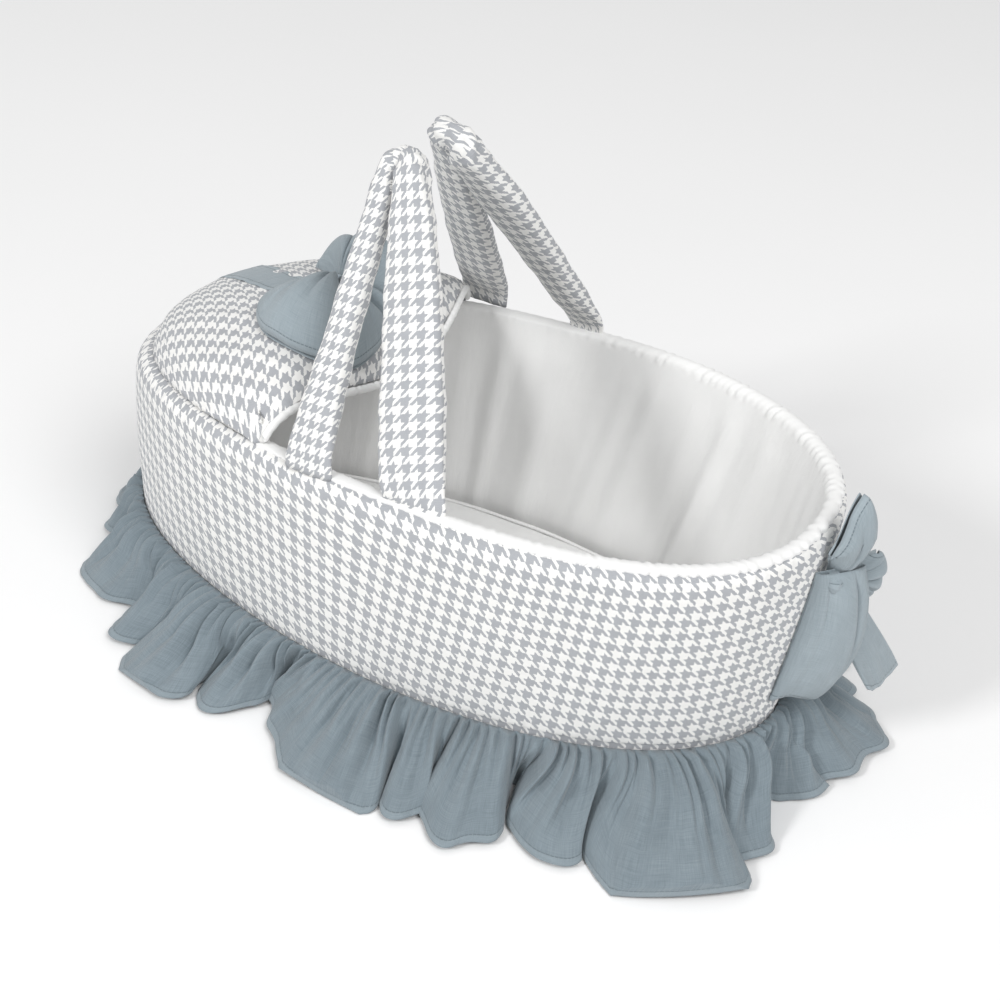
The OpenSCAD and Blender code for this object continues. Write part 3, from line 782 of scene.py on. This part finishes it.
def cover_top():
    """The padded houndstooth top: it rolls down to the rim's seam and to its bound front edge."""
    x, y, share, across = cover_plan(72, 200, rim_off=-0.2)
    from_rim = lengths(np.stack([x, y], -1))
    from_front = from_rim[-1:] - from_rim
    z = cover_over(x, y)
    roll_rim = np.exp(-(from_rim / 6.5) ** 1.3)
    roll_front = np.exp(-(from_front / 4.0) ** 1.5)
    pucker = wobble(across, (41, 57, 73, 89), 41)
    soft = wobble(across, (5, 8, 13), 42) * np.sin(np.pi * share)
    z = z - 7.4 * roll_rim - 3.2 * roll_front
    inside = smooth_step(0, 0.13, across) * smooth_step(1, 0.87, across)
    z = z + 0.55 * inside * pucker * np.exp(-(from_rim / 16) ** 2) + 0.7 * soft
    z = z + 0.35 * wobble(across, (31, 47), 43) * np.exp(-(from_front / 14) ** 2)
    grid = np.stack([x, y, z], -1)
    edge = np.gradient(grid[0, :, :2], axis=0)
    outward = np.stack([-edge[:, 1], edge[:, 0]], -1) / np.linalg.norm(edge, axis=1, keepdims=True)
    tucked = grid[0] - np.concatenate([2.6 * outward, np.ones((len(outward), 1))], axis=1)
    gone, gone_flat = lengths(grid), from_rim
    slope = (gone[-1:] - gone) - (gone_flat[-1:] - gone_flat)
    uv = (grid[..., :2] + outward[None] * slope[..., None]) / CHECK_ALONG
    grid, uv = np.concatenate([tucked[None], grid]), np.concatenate([uv[:1], uv])
    piece = grid_piece("cover_top_cloth", grid, uv, flip=True)
    place_piece(piece, HOUNDSTOOTH, "basket", ["cover_top"])
    return piece


def cover_lining():
    """White lining under the cover, a little slack between its seams."""
    x, y, share, across = cover_plan(40, 120, rim_off=-4.5)
    slack = np.sin(np.pi * share) * (0.6 + 0.5 * wobble(across, (9, 15, 23), 44))
    slack = slack + 2.5 * np.exp(-lengths(np.stack([x, y], -1)) / 6)
    grid = np.stack([x, y, cover_under(x, y) - slack], -1)
    piece = grid_piece("cover_lining_cloth", grid, np.stack([x, y], -1))
    return place_piece(piece, LINING, "basket", ["cover_lining"])


def cover_wadding():
    """Wadding between the cover's two cloths."""
    x, y, share = cover_plan(24, 60, rim_off=-8)[:3]
    inner = 0.03 + 0.94 * share
    top = np.stack([x, y, mix(cover_under(x, y), cover_over(x, y), 0.72)], -1)
    piece = grid_piece("cover_wadding_pad", top - [2.0, 0, 0] * inner[..., None],
                       np.stack([x, y], -1), thickness=4.0, flip=True)
    place_piece(piece, WADDING, "basket", ["cover_wadding"])
    return piece


def cover_binding():
    """White rolled binding that closes the cover's front edge."""
    y = np.linspace(-COVER_EDGE_Y - 1, COVER_EDGE_Y + 1, 260)
    x = front_x(y)
    radius = 2.5
    line = np.stack([x + 1.2, y, cover_under(x, y) + radius + 0.2], -1)
    side, up = line_frames(line, False)
    turn = full_turn(14)
    share = (y - y[0]) / (y[-1] - y[0])
    lumpy = radius + 0.22 * wobble(share, (33, 47, 61), 45)
    rings = line[:, None] + lumpy[:, None, None] * (
        np.cos(turn)[None, :, None] * side[:, None] + 1.15 * np.sin(turn)[None, :, None] * up[:, None])
    piece = capped_tube("cover_edge_binding_roll", rings)
    return place_piece(piece, LINING, "basket", ["cover_edge_binding"])


def cover_ribbon():
    """Chambray ribbon along the middle of the cover, hemmed on both sides."""
    finish = COVER_BOW_X - 4
    share = np.linspace(0, 1, 90)[:, None]
    side = np.linspace(-1, 1, 25)[None, :]
    narrowing = 1 - 0.45 * smooth_step(0.86, 1.0, share)
    end_y = RIBBON_ENDS[0] + side * RIBBON_WIDTH / 2
    rim_share = np.abs(end_y / (RIM_HALF_WIDTH * (1 - EGG))) ** RIM_EXPONENT
    start = RIM_SHIFT - RIM_HALF_LENGTH * (1 - rim_share) ** (1 / RIM_EXPONENT) + 4
    x = mix(start, finish, share)
    y = side * RIBBON_WIDTH / 2 * narrowing + mix(*RIBBON_ENDS[::-1], (1 - share) ** 2)
    folds = 0.9 * np.cos(side * 9) * smooth_step(0.8, 1, share)
    ripples = 0.5 * wobble(share, (3, 5, 8), 46) * side ** 2 + folds
    z = cover_over(x, y) + 0.9 + np.maximum(ripples, -0.4)
    grid = np.stack([x, y, z], -1)
    gone = lengths(grid)
    from_edge = RIBBON_WIDTH / 2 * (1 - np.abs(side)) + 1.5 + 0 * share
    uv = np.stack([gone, from_edge], -1)
    piece = grid_piece("cover_ribbon_cloth", grid, uv, thickness=0.6, flip=True)
    place_piece(piece, CHAMBRAY, "basket", ["cover_ribbon"])
    return piece


# ---- Bows ---------------------------------------------------------------------

def on_cover(across, along, lift):
    """Points over the cover, where the plan is X and Y."""
    return np.stack([across, along, cover_over(across, along) + lift], -1)


def on_end(across, along, lift):
    """Points off the open end's wall, where the plan is Y and Z."""
    return np.stack([end_wall_x(across, along) + lift, across, along], -1)


def bow_loop(name, surface, centre, spread, reach, lift, height, node, seed,
             root=0, pleats=4, corner=(0.25, 0.25), roundness=2):
    """A puffed bow loop: two layers of cloth from a pleated root to a hemmed mouth.
    spread is its first and last angle, reach its first and last distance from the knot and root
    half the width where it starts. lift is how far the underside of its first and last side stands
    off at the root, then at the mouth, and height is how far it puffs up. corner is how much the
    mouth is cut back on its first and last side, along a curve that is pointed at roundness 1."""
    out = np.linspace(0, 1, 52)[:, None]
    turn = full_turn(168)[None, :]
    across = (1 - np.cos(turn)) / 2
    upper = smooth_step(-0.25, 0.25, np.sin(turn))
    wave = wobble(across, (1, 2, 3), seed)
    middle = (spread[0] + spread[1]) / 2
    half = (spread[1] - spread[0]) / 2 * mix(0.6, 1.0, np.sin(np.pi / 2 * out) ** 0.8)
    angle = np.radians(middle + half * (2 * across - 1 + 0.04 * wave * out))
    side = np.abs(2 * across - 1)
    cut = mix(corner[0], corner[1], across) * side ** roundness * out
    distance = mix(reach[0], reach[1], out) * (1 - cut) + 0.025 * half * wave * out
    beside = root * (2 * across - 1) * (1 - out)
    body = np.sin(np.pi * np.clip(out * 0.98 + 0.02, 0, 1)) ** 0.5
    crown = np.maximum(np.sin(np.pi * across), 0) ** 0.42
    ridge = np.abs(np.cos(np.pi * pleats * across + seed)) ** 0.6 - 0.5
    pleat = ridge * np.exp(-out * 1.6) * crown * np.minimum(1, 7 * out)
    fold = np.cos(2 * np.pi * (1.3 * across + 0.35 * out) + 1.7 * seed) * out * (1.25 - out) * crown
    top = 2.3 + height * body * crown + (0.45 * height + 0.6) * pleat + 0.2 * height * fold * body
    under = 0.7 + 0.5 * pleat
    stands = mix(mix(*lift[0], across), mix(*lift[1], across), out ** 1.2)
    level = mix(under, np.maximum(top, 2.3), upper) + stands
    turned = math.radians(middle)
    plan_a = centre[0] + distance * np.cos(angle) - beside * math.sin(turned)
    plan_b = centre[1] + distance * np.sin(angle) + beside * math.cos(turned)
    grid = surface(plan_a, plan_b, level)
    gone = lengths(grid)
    from_hem = gone[-1:] - gone
    around = lengths_round(grid)
    along = around[-1:] * np.ones_like(around)
    uv = np.stack([along, close_round(from_hem)], -1)
    piece = grid_piece(name, grid, uv, wrap=True, thickness=0.7)
    place_piece(piece, CHAMBRAY, "basket", [node])
    return piece


def knot(name, centre, direction, length, radius, node):
    """A bow's knot: a short roll of cloth with lengthwise folds, pulled in at its ends."""
    direction = np.array(direction, float)
    side = np.cross(direction, [0.3, 0.2, 1.0])
    side = side / np.linalg.norm(side)
    up = np.cross(side, direction)
    rings = []
    turn = full_turn(72)
    for share in np.linspace(-1, 1, 30):
        full = math.sqrt(max(1 - share ** 4, 0.02))
        folds = 1 + 0.09 * np.sin(5 * turn + 2.2 * share) + 0.05 * np.sin(9 * turn - 1.5 * share)
        size = radius * full * folds * (0.92 - 0.1 * math.cos(3 * share))
        middle = np.array(centre) + direction * share * length / 2
        round_way = np.cos(turn)[:, None] * side + np.sin(turn)[:, None] * up
        rings.append(middle + size[:, None] * round_way)
    piece = capped_tube(name, np.array(rings))
    return place_piece(piece, CHAMBRAY, "basket", [node])


def cover_bow():
    centre = (COVER_BOW_X, 0)
    bow_loop("cover_bow_near_loop_cloth", on_cover, centre, (-142, 2), (3, 76), ((2, 2), (1, 3)), 25,
             "cover_bow_near_loop", seed=1, pleats=5, corner=(0.3, 0.55), roundness=1.5)
    bow_loop("cover_bow_far_loop_cloth", on_cover, centre, (32, 144), (3, 62), ((3, 3), (4, 4)), 30,
             "cover_bow_far_loop", seed=2)
    bow_loop("cover_bow_tail_cloth", on_cover, centre, (4, 30), (3, 50), ((3, 3), (3, 3)), 10,
             "cover_bow_tail", seed=4, pleats=2, corner=(0.1, 0.1))
    top = float(cover_over(COVER_BOW_X, 0.0)) + 9.5
    knot("cover_bow_knot_cloth", (COVER_BOW_X, 0, top), (1, 0, 0), 22, 8.2, "cover_bow_knot")


def end_bow():
    centre = (END_BOW_Y, END_BOW_Z)
    bow_loop("end_bow_upper_loop_cloth", on_end, centre, (62, 112), (3, 66), ((3, 3), (18, 2)), 14,
             "end_bow_upper_loop", seed=5, pleats=3, corner=(0.75, 0.75), roundness=1.15)
    bow_loop("end_bow_side_loop_cloth", on_end, centre, (-46, 12), (3, 46), ((4, 4), (26, 26)), 18,
             "end_bow_side_loop", seed=6, pleats=3, corner=(0.3, 0.3))
    bow_loop("end_bow_lower_loop_cloth", on_end, centre, (260, 285), (-9, 106), ((0, 20), (0, 32)), 17,
             "end_bow_lower_loop", seed=7, root=14, pleats=2, corner=(0.04, 0.5), roundness=1.3)
    bow_loop("end_bow_tail_cloth", on_end, centre, (286, 302), (8, 112), ((6, 14), (54, 76)), 3,
             "end_bow_tail", seed=8, root=8, pleats=1, corner=(0.1, 0.04))
    wall = float(end_wall_x(np.float64(END_BOW_Y), np.float64(END_BOW_Z)))
    knot("end_bow_knot_cloth", (wall + 10, END_BOW_Y, END_BOW_Z), (0, 1, 0), 22, 8.2, "end_bow_knot")


# ---- Handles ------------------------------------------------------------------

ROOT_DEPTH = 9.0      # how far a strap reaches down into the rim below its fold line


def handle_line(legs, apex, leg_steps=44, arc_steps=20):
    """Middle line of a handle in its own plane: X, and the distance from the fold line."""
    tilt = [math.atan2(side * (foot - apex) - APEX_RADIUS, HANDLE_LENGTH - APEX_RADIUS)
            for side, foot in zip((-1, 1), legs)]
    turn = np.linspace(math.pi - tilt[0], tilt[1], arc_steps + 1)
    arc = np.stack([apex + APEX_RADIUS * np.cos(turn),
                    HANDLE_LENGTH - APEX_RADIUS + APEX_RADIUS * np.sin(turn)], -1)
    steps = np.linspace(0, 1, leg_steps, endpoint=False)[:, None]
    left = mix(np.array([[legs[0], 0.0]]), arc[:1], steps)
    right = mix(arc[-1:], np.array([[legs[1], 0.0]]), steps + 1 / leg_steps)
    down = np.array([[0.0, -ROOT_DEPTH]])
    return np.vstack([left[:1] + down, left[:1] + down / 2, left, arc, right, right[-1:] + down / 2,
                      right[-1:] + down])


def leg_half_width(widths, rise):
    """Half the seen width of a leg at a height above its fold line."""
    profile = curve_through(list(zip((0, 0.25, 0.5, 0.75, 1), widths)), 81)
    share = np.clip(rise / (HANDLE_LENGTH - APEX_RADIUS), 0, 1)
    return np.interp(share, profile[:, 0], profile[:, 1]) / 2


def strap_rings(legs, apex, widths, front, shrink, seed, arc_start=46, arc_steps=20):
    """Rings of the padded strap, in its own plane, folded sharply where it bends at the top.
    front is 1 or -1, the side of the plane that faces the near side."""
    line = handle_line(legs, apex)
    along = np.gradient(line, axis=0)
    along = along / np.linalg.norm(along, axis=1, keepdims=True)
    side = np.stack([along[:, 1], -along[:, 0]], -1)
    rise = np.clip(line[:, 1], 0, HANDLE_LENGTH)
    over = np.clip((np.arange(len(line)) - arc_start) / arc_steps, 0, 1)
    half_width = mix(leg_half_width(widths[0], rise), leg_half_width(widths[1], rise), over)
    half_thick = mix(1.6, STRAP_THICKNESS / 2, np.clip(rise / 34, 0, 1) ** 0.9)
    half_thick = half_thick + 2 * (rise / HANDLE_LENGTH) ** 3
    pinch = np.exp(-((over - 0.5) / 0.16) ** 2)
    half_width = half_width * (1 - 0.16 * pinch) - shrink
    half_thick = half_thick * (1 - 0.3 * pinch) - shrink * np.clip(rise / 10, 0.4, 1)
    turn = full_turn(64)
    gone = lengths(line)
    share = gone / gone[-1]
    lump = 0.45 * wobble(share, (7, 12, 19), seed)[:, None]
    crease = wobble(share[:, None] + 0.01 * np.sin(turn)[None, :], (61, 83, 97), seed + 1)
    at_top = np.exp(-((share - 0.5) / 0.06) ** 2)[:, None]
    at_root = (1 - smooth_step(0, 0.09, np.minimum(share, 1 - share)))[:, None]
    pleat = np.sin(9 * np.cos(turn) + seed)[None, :] * at_root * 0.35
    edge_seam = np.exp(-((turn - np.pi) / 0.12) ** 2)[None, :] * 0.7
    inward = np.maximum(-np.cos(turn), 0)[None, :]
    swell = (lump + 0.8 * crease * at_top * (0.5 + inward) - edge_seam * (1 - at_root)) * (shrink == 0)
    wide = (half_width[:, None] + swell) * signed_power(np.cos(turn), 0.8)[None, :]
    thick = (half_thick[:, None] + 0.6 * swell + pleat * (shrink == 0)) * signed_power(np.sin(turn), 0.8)
    flat = line[:, None] + side[:, None] * wide[..., None]
    thick = thick + (front * mix(-STAGGER, STAGGER, over) * (rise / HANDLE_LENGTH) ** 3)[:, None]
    return np.concatenate([flat, thick[..., None]], -1), gone


def to_side(points, mirror):
    """Moves points from a handle's own plane to its place on the rim. Above the fold line it leans
    inwards; below, it goes straight down between the outer wall and the lip."""
    x, up, off = points[..., 0], points[..., 1], points[..., 2]
    slope = math.pi / 2 - HANDLE_LEAN
    above = smooth_step(-2, 12, up)
    tuck = 2.6 * (1 - above)
    y = np.maximum(up, 0) * math.cos(slope) - off * mix(1, math.sin(slope), above) - HINGE_Y + tuck
    z = np.minimum(up, 0) + np.maximum(up, 0) * math.sin(slope) + off * above * math.cos(slope) + HINGE_Z
    return np.stack([x, y * mirror, z], -1)


def strap(side, legs, apex, widths, mirror, seed):
    """One handle: its houndstooth strap, the wadding inside and the stitches under its top bend."""
    body = side + "_handle"
    rings, gone = strap_rings(legs, apex, widths, mirror, 0, seed)
    grid = to_side(rings, mirror)
    around = lengths_round(grid)
    around = around / around[:, -1:] * STRAP_GIRTH
    uv = np.stack([gone[:, None] + 0 * around, around], -1) / STRAP_CHECK
    piece = grid_piece(body + "_strap", grid, uv, wrap=True, flip=mirror < 0)
    apply_modifiers(piece)
    place_piece(piece, HOUNDSTOOTH, None, [body + "_cover"])
    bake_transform(piece)
    core, gone = strap_rings(legs, apex, widths, mirror, 2.6, seed)
    keep = slice(6, -6)
    wadding = capped_tube(body + "_wadding_core", to_side(core[keep], mirror))
    place_piece(wadding, WADDING, body, [body + "_wadding"])
    tack(body, apex, mirror)
    return piece


def tack(body, apex, mirror):
    """Stitches that hold the strap folded together under its top bend."""
    strands = []
    for number in range(5):
        turn = np.linspace(0, 2 * np.pi, 40)
        rise = HANDLE_LENGTH - APEX_RADIUS - 11 + 1.5 * number
        wide = 5.0
        line = np.stack([apex + wide * np.cos(turn) + 0.6 * np.sin(2 * turn),
                         rise + 0.8 * np.cos(turn), 3.4 * np.sin(turn) + 0.3 * number], -1)
        strands.append(line)
    line = to_side(np.concatenate(strands), mirror)
    side, up = line_frames(line, False)
    turn = full_turn(8)
    rings = line[:, None] + 0.45 * (np.cos(turn)[None, :, None] * side[:, None]
                                    + np.sin(turn)[None, :, None] * up[:, None])
    piece = capped_tube(body + "_tack_thread", rings)
    return place_piece(piece, THREAD, body, [body + "_tack"])


# ---- CAD nodes that keep their own shape --------------------------------------

def carry_over(node, material):
    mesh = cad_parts[node].data
    mesh.materials.clear()
    mesh.materials.append(material)


def flat_linings():
    carry_over("floor_lining", FLAT_LINING)
    carry_over("base_cover", HOUNDSTOOTH_FLAT)
    carry_over("base_board", BOARD)


# ---- Camera, lights and floor -------------------------------------------------

def camera():
    """The view of the reference: from the near side and the open end, a little rolled."""
    turn, height, roll = math.radians(28.875), math.radians(33.921), 0.068
    back = Vector((math.sin(turn) * math.cos(height), -math.cos(turn) * math.cos(height), math.sin(height)))
    right = Vector((math.cos(turn), math.sin(turn), 0))
    up = back.cross(right)
    unit = RIM_HALF_LENGTH * MM
    aim = Vector((RIM_SHIFT * MM, 0, SEAM_HEIGHT * MM))
    place = aim + unit * (5.369 * back + 0.077 * right + 0.251 * up)
    rolled_right = right * math.cos(roll) + up * math.sin(roll)
    rolled_up = up * math.cos(roll) - right * math.sin(roll)
    lens = bpy.data.cameras.new("camera")
    lens.sensor_width = 36
    lens.lens = 68.4
    lens.clip_start = 0.05
    eye = bpy.data.objects.new("camera", lens)
    axes = Matrix((rolled_right, rolled_up, back)).transposed()
    eye.matrix_world = Matrix.Translation(place) @ axes.to_4x4()
    link(eye)
    bpy.context.scene.camera = eye


def area_light(name, place, target, size, power):
    lamp = bpy.data.lights.new(name, "AREA")
    lamp.shape = "DISK"
    lamp.size = size
    lamp.energy = power
    light = bpy.data.objects.new(name, lamp)
    light.location = place
    light.rotation_euler = (Vector(target) - Vector(place)).to_track_quat("-Z", "Y").to_euler()
    link(light)


def studio():
    """Soft light from the near side and the open end, a pale floor and a white surround."""
    world = bpy.data.worlds.new("studio")
    world.use_nodes = True
    world.node_tree.nodes["Background"].inputs[0].default_value = (1, 1, 1, 1)
    world.node_tree.nodes["Background"].inputs[1].default_value = 0.5
    bpy.context.scene.world = world
    area_light("key", (-1.6, -4.4, 3.3), (0, 0, 0.1), 1.3, 130)
    area_light("fill", (2.7, -1.6, 3.6), (0, 0, 0.1), 2.4, 100)
    half = 4.0
    mesh = bpy.data.meshes.new("floor")
    corners = [(-half, -half, 0), (half, -half, 0), (half, half, 0), (-half, half, 0)]
    mesh.from_pydata(corners, [], [(0, 1, 2, 3)])
    floor = bpy.data.objects.new("floor", mesh)
    link(floor)
    recipe = Recipe("studio_floor", roughness=0.9)
    vector = recipe.object_axes(1.0)[0]
    grain = recipe.noise(vector, 3.0, 4.0)
    recipe.feed(recipe.shader.inputs["Base Color"],
                recipe.colour_mix(grain, (0.94, 0.94, 0.94, 1), (0.96, 0.96, 0.96, 1)))
    mesh.materials.append(recipe.material)
    bpy.context.scene.view_settings.view_transform = "Standard"


camera()
studio()
outer_wall()
wall_lining()
wall_foam()
ruffle()
mattress()
cover_top()
cover_lining()
cover_wadding()
cover_binding()
cover_ribbon()
cover_bow()
end_bow()
strap("near", NEAR_LEGS, NEAR_APEX_X, NEAR_WIDTHS, 1, seed=51)
strap("far", FAR_LEGS, FAR_APEX_X, FAR_WIDTHS, -1, seed=61)
flat_linings()
